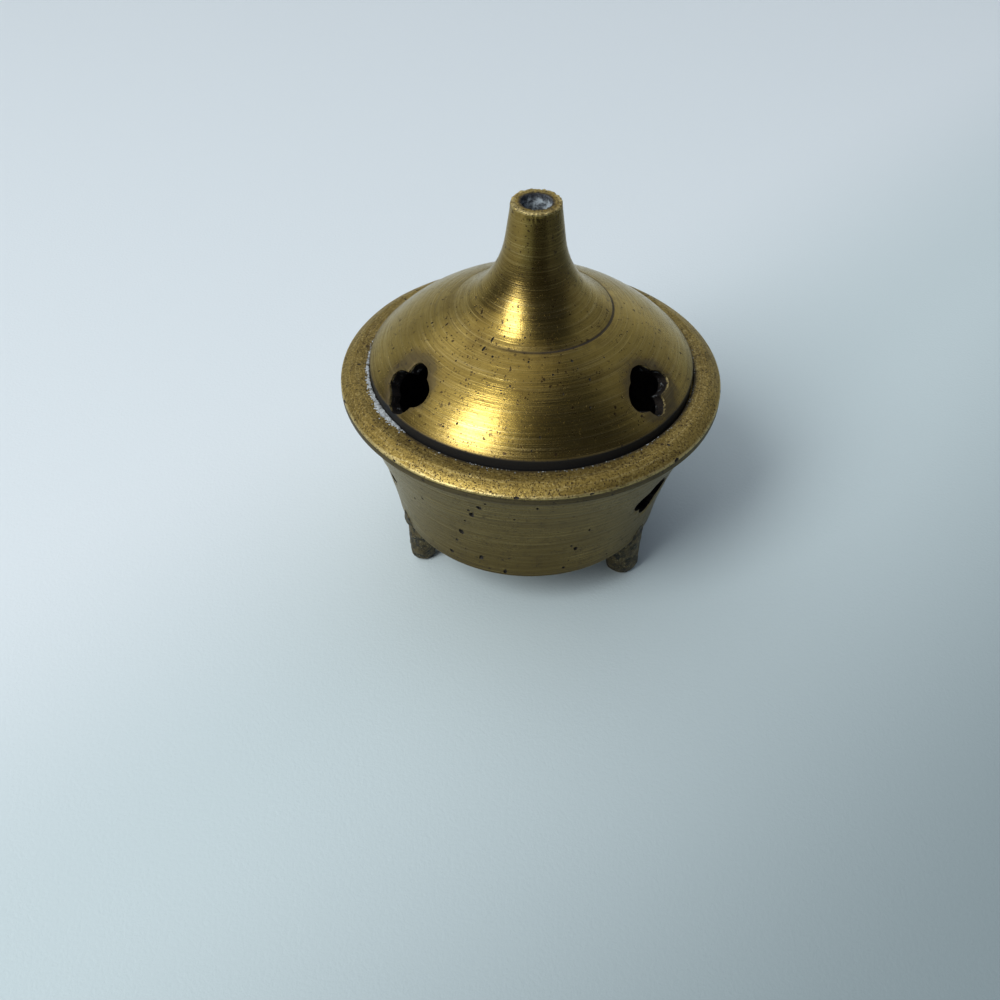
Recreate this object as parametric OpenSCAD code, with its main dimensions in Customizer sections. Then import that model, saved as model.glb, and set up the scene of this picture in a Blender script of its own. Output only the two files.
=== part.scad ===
// Small turned brass incense burner: a footed bowl with a loose domed lid whose
// neck is the smoke outlet. Millimetres, +Z up, origin on the table under the bowl's centre.
// Angles round the burner are counted from its front, which faces -Y, towards +X.

/* [Bowl] */
// Width of the bowl's flat underside
base_d = 47; // [38:1:58]
// Height of the bowl from its underside to the flat ledge round the lid
bowl_h = 27.6; // [22:0.1:34]
// How far the wall hollows in between its underside and the rim
wall_hollow = 0.9; // [0.3:0.1:2]
// Thickness of the bowl's floor
floor_t = 2.8; // [2.6:0.1:4]
// Thickness of the wall where it meets the floor
foot_wall_t = 3.1; // [2.4:0.1:4]
// Radius of the corner between the floor and the wall inside
inside_round = 3; // [1.5:0.1:5]

/* [Rim] */
// Width of the flat ledge round the lid
ledge_w = 2.4; // [1.5:0.1:4]
// Width of the rounded outer part of the rim
round_w = 2.3; // [1.6:0.1:3]
// Drop of the rounded part from the ledge to the rim's edge
round_drop = 1.4; // [0.8:0.1:1.5]
// Height of the rim's upright edge
edge_h = 1.4; // [1:0.1:2.5]
// How far the rim overhangs the wall
overhang = 1; // [0.5:0.1:2]
// Depth of the seat that the lid drops into
seat_depth = 1; // [0.6:0.1:1.2]
// Width of the shelf that carries the lid
seat_w = 2.6; // [1.8:0.1:3.5]

/* [Lid] */
// Width of the lid
lid_d = 54; // [45:1:66]
// Height of the lid's upright edge above the ledge
lid_edge_h = 1.6; // [1:0.1:2.5]
// Height from the ledge to the ring scored at the foot of the neck
shoulder_h = 11.5; // [9.5:0.1:15]
// Rise of the domed part above a straight cone
dome_bulge = 1; // [0.8:0.1:2.4]
// Thickness of the domed wall
dome_t = 2.2; // [1.6:0.1:2.8]

/* [Neck] */
// Width of the neck's flared foot
flare_d = 26; // [22:0.1:32]
// Depth of the hollow curve from the flared foot up to the neck
flare_hollow = 1.7; // [1:0.1:2.5]
// Width of the neck where the flare ends
neck_d = 9.5; // [8.8:0.1:12]
// Height from the ledge to where the flare ends
neck_h = 23.8; // [20:0.1:27]
// Width of the neck at its mouth
mouth_d = 7.8; // [7:0.1:9.5]
// Height from the ledge to the neck's mouth
lid_h = 30.1; // [28:0.1:36]
// Width of the smoke hole
smoke_d = 4.9; // [4:0.1:6]
// Depth of the straight smoke hole below the mouth
smoke_l = 12.6; // [9:0.1:14]

/* [Openings] */
// Width across each four-lobed opening
vent_w = 9; // [8:0.1:11]
// Width of one lobe
lobe_d = 4.5; // [3.8:0.1:5.5]
// Distance from the lid's edge in to a dome opening's centre
vent_inset = 3.5; // [3:0.1:5.5]
// Upward slant of the openings in the dome, in degrees
vent_slant = 35; // [25:1:40]
// Angle of the dome openings either side of the front, in degrees
vent_spread = 53; // [45:1:60]
// Height of the bowl openings' centres above the underside
air_h = 12.9; // [11:0.1:15]
// Angle of the bowl's first opening, in degrees
air_turn = 53; // [30:1:75]

/* [Feet] */
// Height of the feet below the bowl
foot_h = 9.5; // [7.9:0.1:13]
// Width of a foot at its top
foot_d = 7.2; // [5.5:0.1:8]
// Width of a foot's rounded tip
tip_d = 5.6; // [4.2:0.1:6.2]
// Width of the flat worn on a foot's sole
sole_d = 3.2; // [2:0.1:3.8]
// Distance from the edge of the bowl's underside in to a foot's centre
foot_inset = 2.6; // [2.4:0.1:4]
// Angle of the right foot, in degrees
foot_turn = 58; // [45:1:70]
// Width of the peg on top of a foot
peg_d = 3; // [2:0.1:3.6]
// Length of the peg on top of a foot
peg_l = 1.8; // [1:0.1:2]

/* [Clearances] */
// Gap between the lid's edge and the side of its seat
lid_gap = 0.25; // [0.1:0.05:0.6]
// Gap round and above a foot's peg, which the braze fills
peg_gap = 0.05; // [0.02:0.01:0.15]

/* [Hidden] */
$fn = 120;

// How far cutters run past what they cut
past = 1;
copies = 3;

lid_r = lid_d / 2;
seat_r = lid_r + lid_gap;
ledge_r = seat_r + ledge_w;
rim_r = ledge_r + round_w;
mouth_in_r = seat_r - seat_w;
base_r = base_d / 2;
wall_top = bowl_h - round_drop - edge_h;
floor_r = base_r - foot_wall_t;
round_r = (pow(round_w, 2) + pow(round_drop, 2)) / (2 * round_drop);

foot_circle_r = base_r - foot_inset;
tip_r = tip_d / 2;
tip_z = sqrt(pow(tip_r, 2) - pow(sole_d / 2, 2));

// The lid's outline, as [radius, height above the ledge]
edge_top = [lid_r, lid_edge_h];
shoulder = [flare_d / 2, shoulder_h];
flare_top = [neck_d / 2, neck_h];
lid_in_r = mouth_in_r;
dome_in_top = shoulder_h - dome_t;
smoke_foot = lid_h - smoke_l;
vent_r = lid_r - vent_inset;

brass = [0.66, 0.51, 0.24];
cast_brass = [0.47, 0.38, 0.21];

// Radius and centre of the arc from p to q that bulges by s to the left of that direction
function arc_r(p, q, s) = (pow(norm(q - p) / 2, 2) + pow(s, 2)) / (2 * s);
function left_of(p, q) = [p[1] - q[1], q[0] - p[0]] / norm(q - p);
function arc_c(p, q, s) = (p + q) / 2 - left_of(p, q) * (arc_r(p, q, s) - s);

dome_r = arc_r(shoulder, edge_top, dome_bulge);
dome_c = arc_c(shoulder, edge_top, dome_bulge);
vent_z = dome_c[1] + sqrt(pow(dome_r, 2) - pow(vent_r - dome_c[0], 2));

module disc_at(c, r) {
    translate(c) circle(r = r);
}

// The whole disc of that arc
module arc_disc(p, q, s) {
    disc_at(arc_c(p, q, s), arc_r(p, q, s));
}

module four_lobes() {
    reach = (vent_w - lobe_d) / 2;
    for (a = [0:90:270])
        rotate(a) translate([reach, 0]) circle(d = lobe_d);
    polygon([[reach, 0], [0, reach], [-reach, 0], [0, -reach]]);
}

// A four-lobed cutter through a wall, at radius r and height z, facing out and up by slant
module lobed_cut(r, z, slant, inward) {
    translate([0, -r, z])
        rotate([90 - slant, 0, 0])
            translate([0, 0, -inward])
                linear_extrude(inward + dome_t + past) four_lobes();
}

// What is turned off the rim's top corner, leaving an arc from the ledge to the upright edge
module rim_corner_cut() {
    difference() {
        translate([ledge_r, bowl_h - round_r]) square(round_r + past);
        disc_at([ledge_r, bowl_h - round_r], round_r);
    }
}

module bowl_outline() {
    foot = [base_r, 0];
    top = [rim_r - overhang, wall_top];
    difference() {
        polygon([[0, 0], foot, top, [0, wall_top]]);
        arc_disc(foot, top, wall_hollow);
    }
    difference() {
        translate([0, wall_top]) square([rim_r, edge_h + round_drop]);
        rim_corner_cut();
    }
}

module bowl_hollow() {
    corner = [floor_r, floor_t];
    lip = [mouth_in_r, bowl_h];
    lean = atan2(lip[0] - corner[0], lip[1] - corner[1]);
    run = inside_round / tan(45 + lean / 2);
    on_floor = corner - [run, 0];
    on_wall = corner + run * [sin(lean), cos(lean)];
    polygon([[0, floor_t], on_floor, on_wall, lip, [mouth_in_r, bowl_h + past], [0, bowl_h + past]]);
    disc_at(on_floor + [0, inside_round], inside_round);
    translate([0, bowl_h - seat_depth]) square([seat_r, seat_depth + past]);
}

module at_feet() {
    for (i = [0:copies - 1])
        rotate(foot_turn + i * 360 / copies) translate([0, -foot_circle_r]) children();
}

module bowl() {
    color(brass)
        translate([0, 0, foot_h])
            difference() {
                rotate_extrude()
                    difference() {
                        bowl_outline();
                        bowl_hollow();
                    }
                for (i = [0:copies - 1])
                    rotate(air_turn + i * 360 / copies)
                        lobed_cut(rim_r, air_h, 0, rim_r - floor_r + foot_wall_t);
                at_feet()
                    translate([0, 0, -past])
                        cylinder(d = peg_d + 2 * peg_gap, h = peg_l + peg_gap + past);
            }
}

module lid_outline() {
    translate([0, -seat_depth]) square([lid_r, seat_depth + lid_edge_h]);
    polygon([[0, 0], edge_top, shoulder, [0, shoulder_h]]);
    intersection() {
        translate([shoulder[0], lid_edge_h]) square([lid_r - shoulder[0], lid_h]);
        disc_at(dome_c, dome_r);
    }
    difference() {
        polygon([[0, shoulder_h], shoulder, flare_top, [mouth_d / 2, lid_h], [0, lid_h]]);
        arc_disc(shoulder, flare_top, flare_hollow);
    }
}

module lid_hollow() {
    translate([0, -seat_depth - past]) square([lid_in_r, seat_depth + past]);
    intersection() {
        square([lid_in_r, dome_in_top]);
        union() {
            square([shoulder[0], dome_in_top]);
            disc_at(dome_c, dome_r - dome_t);
        }
    }
    polygon([[0, dome_in_top], [neck_d, dome_in_top], [smoke_d / 2, smoke_foot], [0, smoke_foot]]);
}

module lid() {
    color(brass)
        translate([0, 0, foot_h + bowl_h])
            difference() {
                rotate_extrude()
                    difference() {
                        lid_outline();
                        lid_hollow();
                    }
                for (a = [-vent_spread, vent_spread, 180])
                    rotate(a) lobed_cut(vent_r, vent_z, vent_slant, 2 * dome_t + past);
                translate([0, 0, smoke_foot - past])
                    cylinder(d = smoke_d, h = smoke_l + 2 * past);
            }
}

module foot_outline() {
    intersection() {
        union() {
            disc_at([0, tip_z], tip_r);
            polygon([[0, tip_z], [tip_r, tip_z], [foot_d / 2, foot_h], [0, foot_h]]);
        }
        square([foot_d, foot_h]);
    }
    square([sole_d / 2, foot_h]);
    square([peg_d / 2, foot_h + peg_l]);
}

module foot(angle) {
    color(cast_brass)
        rotate(angle)
            translate([0, -foot_circle_r, 0])
                rotate_extrude() foot_outline();
}

module foot_right() {
    foot(foot_turn);
}

module foot_rear() {
    foot(foot_turn + 360 / copies);
}

module foot_left() {
    foot(foot_turn - 360 / copies);
}

bowl();
lid();
foot_left();
foot_right();
foot_rear();
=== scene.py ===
import math
import random

import bpy
import numpy as np
from mathutils import Matrix, Vector
from mathutils import noise


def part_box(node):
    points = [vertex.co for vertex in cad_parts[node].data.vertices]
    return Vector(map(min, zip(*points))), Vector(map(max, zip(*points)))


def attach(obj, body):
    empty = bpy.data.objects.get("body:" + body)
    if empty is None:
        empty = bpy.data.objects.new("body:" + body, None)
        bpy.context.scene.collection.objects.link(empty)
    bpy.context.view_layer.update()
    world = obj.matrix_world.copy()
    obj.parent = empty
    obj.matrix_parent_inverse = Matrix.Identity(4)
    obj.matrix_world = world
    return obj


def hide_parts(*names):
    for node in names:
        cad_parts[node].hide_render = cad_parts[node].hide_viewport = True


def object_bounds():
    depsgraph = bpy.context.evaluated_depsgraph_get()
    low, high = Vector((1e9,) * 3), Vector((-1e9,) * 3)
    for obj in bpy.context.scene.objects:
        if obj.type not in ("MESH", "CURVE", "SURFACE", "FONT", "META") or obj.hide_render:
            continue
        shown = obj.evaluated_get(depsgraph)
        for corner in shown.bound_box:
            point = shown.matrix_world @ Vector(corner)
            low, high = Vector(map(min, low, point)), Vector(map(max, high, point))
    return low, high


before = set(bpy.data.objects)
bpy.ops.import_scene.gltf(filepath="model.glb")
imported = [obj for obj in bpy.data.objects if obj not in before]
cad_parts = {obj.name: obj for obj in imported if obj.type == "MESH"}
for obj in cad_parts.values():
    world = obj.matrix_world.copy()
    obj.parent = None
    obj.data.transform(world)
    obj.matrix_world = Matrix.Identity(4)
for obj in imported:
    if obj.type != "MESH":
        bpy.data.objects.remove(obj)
CAD_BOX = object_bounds()

# Lengths are in millimetres until a mesh is made. Angles round the burner are in degrees,
# counted from its front, which faces -Y, towards +X. Profiles are [radius, height] points.
MM = 0.001

# The order of the finishes on the lid and the bowl
BRASS, SOOT, FILED, ASH, PIT = range(5)


def corner(node, top):
    """A CAD node's highest or lowest corner, in millimetres."""
    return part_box(node)[1 if top else 0] / MM


UNDERSIDE = corner("bowl", False).z
LEDGE = corner("bowl", True).z
MOUTH = corner("lid", True).z
RIM_R = corner("bowl", True).x

# The bowl, with heights above its underside
BASE_R = 23.5
BOWL_H = LEDGE - UNDERSIDE
WALL_HOLLOW = 0.9
FLOOR_T = 2.8
FLOOR_R = 20.4
INSIDE_ROUND = 3.0
INSIDE_BULGE = 0.8
LEDGE_R = RIM_R - 2.3
ROUND_DROP = 1.4
ROUND_BULGE = 0.16
EDGE_H = 1.4
OVERHANG = 1.0
WALL_TOP = BOWL_H - ROUND_DROP - EDGE_H
SEAT_R = 27.25
SEAT_IN_R = 24.65
SEAT_DEPTH = 1.0
AIR_HOLE_H = 12.9

# The lid, with heights above the ledge round it
LID_R = 27.0
LID_EDGE_H = 1.6
SHOULDER = (13.0, 11.5)
DOME_BULGE = 1.0
FLARE_TOP = (4.75, 23.8)
FLARE_HOLLOW = 1.7
MOUTH_R = 3.9
NECK_H = MOUTH - LEDGE
SMOKE_R = 2.45
SMOKE_FOOT = NECK_H - 12.6
HOLLOW_FOOT = (24.65, 0.9)
HOLLOW_TOP = (12.9, 9.1)
HOLLOW_BULGE = 0.85
FUNNEL_FOOT = (9.6, 9.3)
VENT_R = 23.5
VENT_SLANT = 35.0

# Places round the burner
VENT_TURNS = (-53.0, 53.0, 180.0)
AIR_TURNS = (53.0, 173.0, -67.0)
FOOT_TURNS = {"foot_left": -62.0, "foot_right": 58.0, "foot_rear": 178.0}
FOOT_CIRCLE_R = 20.9

# How far a corner has worn round, the bend from which an edge shades as sharp, and the gap
# between an arc's points where the arc is only measured
CORNER_WEAR = 0.1
EDGE_ANGLE = 40
ARC_GAP = 0.2


# ---------------------------------------------------------------- profiles

def arc_circle(start, end, bulge):
    """Centre and radius of the arc from start to end that stands out by bulge to the left."""
    start = np.array(start, float)
    end = np.array(end, float)
    along = end - start
    length = math.hypot(*along)
    left = np.array([-along[1], along[0]]) / length
    radius = (length ** 2 / 4 + bulge ** 2) / (2 * bulge)
    return (start + end) / 2 - left * (radius - bulge), radius


def arc(start, end, bulge, gap):
    """Points along that arc, a gap or less apart."""
    centre, radius = arc_circle(start, end, bulge)
    first = math.atan2(*(np.array(start, float) - centre)[::-1])
    last = math.atan2(*(np.array(end, float) - centre)[::-1])
    sweep = (last - first + math.pi) % (2 * math.pi) - math.pi
    count = max(2, math.ceil(abs(sweep) * radius / gap))
    turn = np.linspace(first, first + sweep, count + 1)
    return centre + radius * np.stack([np.cos(turn), np.sin(turn)], 1)


def line(*points):
    """A path straight from point to point."""
    return np.array(points, float)


def fine(points, step):
    """The same path with a point every step or less."""
    out = [points[:1]]
    for a, b in zip(points[:-1], points[1:]):
        count = max(1, math.ceil(math.hypot(*(b - a)) / step))
        out.append(a + (b - a) * (np.arange(1, count + 1) / count)[:, None])
    return np.concatenate(out)


def worn(path, step, soften, closed):
    """A path with points every step, its corners worn round."""
    reach = int(3 * soften / step)
    weight = np.exp(-0.5 * (np.arange(-reach, reach + 1) * step / soften) ** 2)
    weight /= weight.sum()
    padded = np.pad(path, ((reach, reach), (0, 0)), mode="wrap" if closed else "edge")
    smooth = np.stack([np.convolve(padded[:, k], weight, "valid") for k in range(2)], 1)
    if not closed:
        smooth[0] = path[0]
        smooth[-1] = path[-1]
    return smooth


def profile(stretches, closed, soften):
    """One smooth outline from stretches of (points, gap, finish).

    Corners are softened as by wear, and points lie closer where the outline turns.
    Returns the points and the finish number of each."""
    step = 0.04
    turn_per_step = math.radians(13)
    path, gaps, finishes = [], [], []
    for points, gap, finish in stretches:
        dense = fine(points, step)
        path.append(dense[:-1])
        gaps.append(np.full(len(dense) - 1, gap))
        finishes.append(np.full(len(dense) - 1, finish))
    if not closed:
        path.append(stretches[-1][0][-1:])
        gaps.append(np.full(1, stretches[-1][1]))
        finishes.append(np.full(1, stretches[-1][2]))
    path = np.concatenate(path)
    gaps = np.concatenate(gaps)
    finishes = np.concatenate(finishes)
    smooth = worn(path, step, soften, closed)
    ring = np.concatenate([smooth, smooth[:1]]) if closed else smooth
    ahead = np.diff(ring, axis=0)
    heading = np.unwrap(np.arctan2(ahead[:, 1], ahead[:, 0]))
    bend = np.abs(np.diff(heading, append=heading[-1:]))
    cost = np.maximum(np.hypot(*ahead.T) / gaps[:len(ahead)], bend / turn_per_step)
    total = np.concatenate([[0], np.cumsum(cost)])
    count = math.ceil(total[-1])
    at = np.linspace(0, total[-1], count + 1)
    picked = np.stack([np.interp(at, total, ring[:, k]) for k in range(2)], 1)
    nearest = np.clip(np.searchsorted(total, at + 1e-9) - 1, 0, len(finishes) - 1)
    if closed:
        return picked[:-1], finishes[nearest[:-1]]
    return picked, finishes[nearest]


def outward(points, closed):
    """The direction out of the metal at each point of an outline that runs anticlockwise."""
    if closed:
        ahead = np.roll(points, -1, 0) - np.roll(points, 1, 0)
    else:
        ahead = np.gradient(points, axis=0)
    normal = np.stack([ahead[:, 1], -ahead[:, 0]], 1)
    return normal / np.linalg.norm(normal, axis=1)[:, None]


# ---------------------------------------------------------------- meshes

def add_object(name, verts, faces, materials, finish=None):
    """A mesh object from places in millimetres. finish is the finish number of each face."""
    mesh = bpy.data.meshes.new(name)
    mesh.from_pydata((np.asarray(verts) * MM).tolist(), [], faces)
    for material in materials:
        mesh.materials.append(material)
    if finish is not None:
        mesh.polygons.foreach_set("material_index", np.asarray(finish, np.int32))
    mesh.update()
    made = bpy.data.objects.new(name, mesh)
    bpy.context.scene.collection.objects.link(made)
    return made


def around(azimuth):
    """Unit vectors out from the axis and along the circle, at an angle in degrees."""
    a = np.radians(azimuth)
    out = np.stack([np.sin(a), -np.cos(a), np.zeros_like(a)], -1)
    along = np.stack([np.cos(a), np.sin(a), np.zeros_like(a)], -1)
    return out, along


def place_at(azimuth, radius, height):
    """The place at that angle, distance from the axis and height; each may be an array."""
    places = around(azimuth)[0] * np.asarray(radius, float)[..., None]
    places[..., 2] = height
    return places


def sheet_faces(rows, columns):
    """Faces between points that lie row after row in a sheet."""
    return [(r * columns + c, r * columns + c + 1, (r + 1) * columns + c + 1, (r + 1) * columns + c)
            for r in range(rows - 1) for c in range(columns - 1)]


def tube_faces(start, rings, count, ends):
    """Faces of a tube of rings of points, closed by a middle point at each end."""
    faces = []
    last = start + (rings - 1) * count
    for j in range(count):
        k = (j + 1) % count
        for i in range(rings - 1):
            a, b = start + i * count, start + (i + 1) * count
            faces.append((a + j, a + k, b + k, b + j))
        faces.append((start + k, start + j, ends[0]))
        faces.append((last + j, last + k, ends[1]))
    return faces


def turned(name, points, finishes, closed, turns, shape, materials):
    """A turned piece: the outline carried round the axis, each point moved out of the metal by shape."""
    normal = outward(points, closed)
    count = len(turns)
    out, _ = around(turns)
    arc_length = np.concatenate([[0], np.cumsum(np.linalg.norm(np.diff(points, axis=0), axis=1))])
    moved = shape(points[:, None, :], arc_length[:, None], turns[None, :])
    radius = points[:, None, 0] + normal[:, None, 0] * moved
    height = points[:, None, 1] + normal[:, None, 1] * moved
    grid = out[None, :, :] * radius[..., None]
    grid[..., 2] = height
    verts = []
    rings = []
    on_axis = 1e-6
    for row, point in zip(grid, points):
        if point[0] < on_axis:
            rings.append([len(verts)] * count)
            verts.append((0.0, 0.0, point[1]))
        else:
            rings.append(list(range(len(verts), len(verts) + count)))
            verts.extend(row.tolist())
    faces = []
    finish = []
    rows = len(rings)
    for i in range(rows if closed else rows - 1):
        lower, upper = rings[i], rings[(i + 1) % rows]
        for j in range(count):
            k = (j + 1) % count
            corners = (lower[j], lower[k], upper[k], upper[j])
            faces.append(tuple(dict.fromkeys(corners)))
            finish.append(int(finishes[i]))
    return add_object(name, verts, faces, materials, finish)


def uneven(x, y, z, size, seed):
    """Smooth noise from -1 to 1 at one place, size being its usual lump."""
    return noise.noise(Vector((x / size + seed * 7.3, y / size - seed * 3.1, z / size + seed * 1.7)))


def uneven_grid(radius, azimuth, height, size, seed):
    """The same noise for whole arrays of places."""
    out, _ = around(azimuth)
    flat = np.broadcast_arrays(radius, out[..., 0], out[..., 1], height)
    places = zip(*[part.ravel().tolist() for part in flat])
    values = [uneven(r * sx, r * sy, z, size, seed) for r, sx, sy, z in places]
    return np.array(values).reshape(flat[0].shape)


def close_turns(busy, coarse, dense, half_width):
    """Angles round the burner, closer together near the busy ones."""
    fine_step = 0.05
    fade = 3
    at = np.arange(-180, 180, fine_step)
    rate = np.full(len(at), 1 / coarse)
    for centre in busy:
        away = np.abs((at - centre + 180) % 360 - 180)
        rate = np.maximum(rate, (1 / dense) * np.clip((half_width + fade - away) / fade, 0, 1))
    total = np.concatenate([[0], np.cumsum(rate * fine_step)])
    count = int(round(total[-1]))
    picks = np.linspace(0, total[-1], count, endpoint=False)
    return np.interp(picks, total, np.append(at, 180))


def apply_modifiers(obj):
    """Makes a piece's modifiers part of its mesh."""
    bpy.context.view_layer.update()
    ready = obj.evaluated_get(bpy.context.evaluated_depsgraph_get())
    mesh = bpy.data.meshes.new_from_object(ready)
    obj.modifiers.clear()
    old = obj.data
    obj.data = mesh
    mesh.name = obj.name
    bpy.data.meshes.remove(old)


def cut(obj, cutter):
    """Takes the cutter out of the piece, and leaves the cutter's finish on the cut walls."""
    step = obj.modifiers.new("cut", "BOOLEAN")
    step.operation = "DIFFERENCE"
    step.solver = "MANIFOLD"
    step.material_mode = "INDEX"
    step.object = cutter
    apply_modifiers(obj)
    bpy.data.objects.remove(cutter)


def smooth_but_sharp(obj, angle):
    """Shades a piece smooth, but not across edges that bend by more than angle."""
    mesh = obj.data
    mesh.polygons.foreach_set("use_smooth", [True] * len(mesh.polygons))
    mesh.set_sharp_from_angle(angle=math.radians(angle))


# ---------------------------------------------------------------- the four-lobed openings

class Opening:
    """One four-lobed opening, filed by hand, in its own plane: across it and up it from its centre.

    lobes and notches are (angle, reach) pairs, in degrees and millimetres, in turn round the edge."""

    def __init__(self, turn, radius, height, slant, lobes, notches, fullness=1.12):
        out, along = around(turn)
        lean = math.radians(slant)
        up = np.array([0.0, 0.0, 1.0])
        self.centre = out * radius + up * height
        self.across = along
        self.axis = out * math.cos(lean) + up * math.sin(lean)
        self.upward = up * math.cos(lean) - out * math.sin(lean)
        marks = sorted([(a % 360, r, 1) for a, r in lobes] + [(a % 360, r, 0) for a, r in notches])
        self.marks = marks[-1:] + marks + marks[:1]
        self.fullness = fullness

    def reach(self, angle):
        """How far the edge is from the centre, at an angle in degrees in the opening's plane."""
        angle = np.asarray(angle, float) % 360
        out = np.zeros_like(angle)
        for k in range(len(self.marks) - 1):
            a0, r0, lobe0 = self.marks[k]
            a1, r1, _ = self.marks[k + 1]
            if k == 0:
                a0 -= 360
            if k == len(self.marks) - 2:
                a1 += 360
            inside = (angle >= a0) & (angle <= a1)
            t = (angle[inside] - a0) / (a1 - a0)
            notch, lobe = (r1, r0) if lobe0 else (r0, r1)
            t = 1 - t if lobe0 else t
            out[inside] = notch + (lobe - notch) * np.sin(t * math.pi / 2) ** self.fullness
        return out

    def beyond(self, places):
        """How far places are outside the opening's edge, along its plane, and how far up its axis."""
        offset = places - self.centre
        x = offset @ self.across
        y = offset @ self.upward
        depth = offset @ self.axis
        spread = np.hypot(x, y)
        edge = self.reach(np.degrees(np.arctan2(y, x)))
        return spread - edge, depth

    def cutter(self, name, inner, outer, materials, seed):
        """A closed prism with filed, uneven walls."""
        count, rings = 132, 14
        angle = np.linspace(0, 360, count, endpoint=False)
        edge = self.reach(angle)
        verts = []
        for i in range(rings):
            depth = -inner + (inner + outer) * i / (rings - 1)
            flare = 1 + 0.010 * depth
            for a, e in zip(np.radians(angle), edge):
                x = math.cos(a) * e
                y = math.sin(a) * e
                rough = 0.16 * uneven(x, y, depth, 1.3, seed) + 0.05 * uneven(x, y, depth, 0.4, seed)
                x, y = [v * (flare + rough / e) for v in (x, y)]
                verts.append(self.centre + self.across * x + self.upward * y + self.axis * depth)
        bottom = len(verts)
        verts.append(self.centre - self.axis * inner)
        verts.append(self.centre + self.axis * outer)
        faces = tube_faces(0, rings, count, (bottom, bottom + 1))
        return add_object(name, verts, faces, materials, [FILED] * len(faces))


def even_lobes(mean, notch, seed):
    """Lobes and notches of a plainly filed opening, a little uneven."""
    draw = random.Random(seed)
    lobes = [(a + draw.uniform(-5, 5), mean + draw.uniform(-0.3, 0.3)) for a in (0, 90, 180, 270)]
    notches = [(a + draw.uniform(-4, 4), notch + draw.uniform(-0.2, 0.2)) for a in (45, 135, 225, 315)]
    return lobes, notches


def dome_height(radius):
    """Height of the lid's outside above the ledge, at a radius on the dome or the flare."""
    flare = arc(SHOULDER, FLARE_TOP, FLARE_HOLLOW, ARC_GAP)[::-1]
    dome = arc(SHOULDER, (LID_R, LID_EDGE_H), DOME_BULGE, ARC_GAP)
    points = np.concatenate([flare, dome[1:]])
    return float(np.interp(radius, points[:, 0], points[:, 1]))


def lid_vents():
    """The lid's three openings, of which the front two have their own shapes."""
    height = LEDGE + dome_height(VENT_R)
    left = Opening(VENT_TURNS[0], VENT_R, height, VENT_SLANT,
                   lobes=((0, 4.0), (117, 4.1), (190, 5.0), (268, 4.9)),
                   notches=((58, 3.0), (152, 2.8), (229, 4.1), (315, 3.5)))
    right = Opening(VENT_TURNS[1], VENT_R, height, VENT_SLANT,
                    lobes=((4, 5.9), (65, 5.0), (177, 4.1), (275, 3.8)),
                    notches=((34, 4.6), (118, 3.6), (227, 2.6), (331, 2.5)))
    lobes, notches = even_lobes(4.4, 3.0, 5)
    rear = Opening(VENT_TURNS[2], VENT_R, height, VENT_SLANT, lobes, notches)
    return [left, right, rear]


def bowl_air_holes():
    """The bowl's three air holes, all alike but for the filing."""
    holes = []
    for k, turn in enumerate(AIR_TURNS):
        lobes, notches = even_lobes(4.4, 3.05, 11 + k)
        holes.append(Opening(turn, wall_radius(AIR_HOLE_H), UNDERSIDE + AIR_HOLE_H, 0.0, lobes, notches))
    return holes


def wall_radius(height):
    """Radius of the bowl's outer wall, at a height above its underside."""
    points = arc((BASE_R, 0), (RIM_R - OVERHANG, WALL_TOP), WALL_HOLLOW, ARC_GAP)
    return float(np.interp(height, points[:, 1], points[:, 0]))


# ---------------------------------------------------------------- small faults in the metal

def ball_points(rings, count):
    """Points on a unit ball in rings from pole to pole, and whether each is a pole."""
    for i in range(rings + 1):
        lat = -math.pi / 2 + math.pi * i / rings
        pole = i in (0, rings)
        for j in range(1 if pole else count):
            lon = 2 * math.pi * j / count
            yield math.cos(lat) * math.cos(lon), math.cos(lat) * math.sin(lon), math.sin(lat), pole


def ball_faces(start, rings, count):
    """Faces between those points, the first of which has the number start."""
    def at(i, j):
        """Number of the point in ring i and place j."""
        if i == 0:
            return start
        if i == rings:
            return start + 1 + (rings - 1) * count
        return start + 1 + (i - 1) * count + j % count

    loops = [(at(i, j), at(i, j + 1), at(i + 1, j + 1), at(i + 1, j))
             for i in range(rings) for j in range(count)]
    return [tuple(dict.fromkeys(loop)) for loop in loops]


def pit_cutter(name, pits, materials):
    """Small closed lumps to cut out of the metal.

    A pit is (place, along, across, size, length, depth, seed)."""
    verts, faces = [], []
    rings, count = 6, 10
    for place, along, across, size, length, depth, seed in pits:
        normal = np.cross(along, across)
        faces += ball_faces(len(verts), rings, count)
        for ux, uy, uz, pole in ball_points(rings, count):
            swell = 1.0 if pole else 1 + 0.35 * uneven(ux, uy, uz, 0.9, seed)
            x = ux * size * length * swell
            y = uy * size * swell
            verts.append(place + along * x + across * y + normal * (uz * depth * swell))
    return add_object(name, verts, faces, materials, [PIT] * len(faces))


def on_wall(azimuth, below_ledge):
    """A place on the bowl's outer wall, with the directions up the wall and round it."""
    out, along = around(azimuth)
    height = BOWL_H - below_ledge
    step = 0.5
    rise = np.array([wall_radius(height + step) - wall_radius(height - step), 2 * step])
    rise = rise / np.linalg.norm(rise)
    up = out * rise[0] + np.array([0, 0, rise[1]])
    return place_at(azimuth, wall_radius(height), UNDERSIDE + height), up, along


def on_dome(azimuth, radius):
    """A place on the lid's dome, with the directions down the dome and round it."""
    out, along = around(azimuth)
    step = 0.4
    drop = np.array([2 * step, dome_height(radius + step) - dome_height(radius - step)])
    drop = drop / np.linalg.norm(drop)
    down = out * drop[0] + np.array([0, 0, drop[1]])
    return place_at(azimuth, radius, LEDGE + dome_height(radius)), down, along


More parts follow.
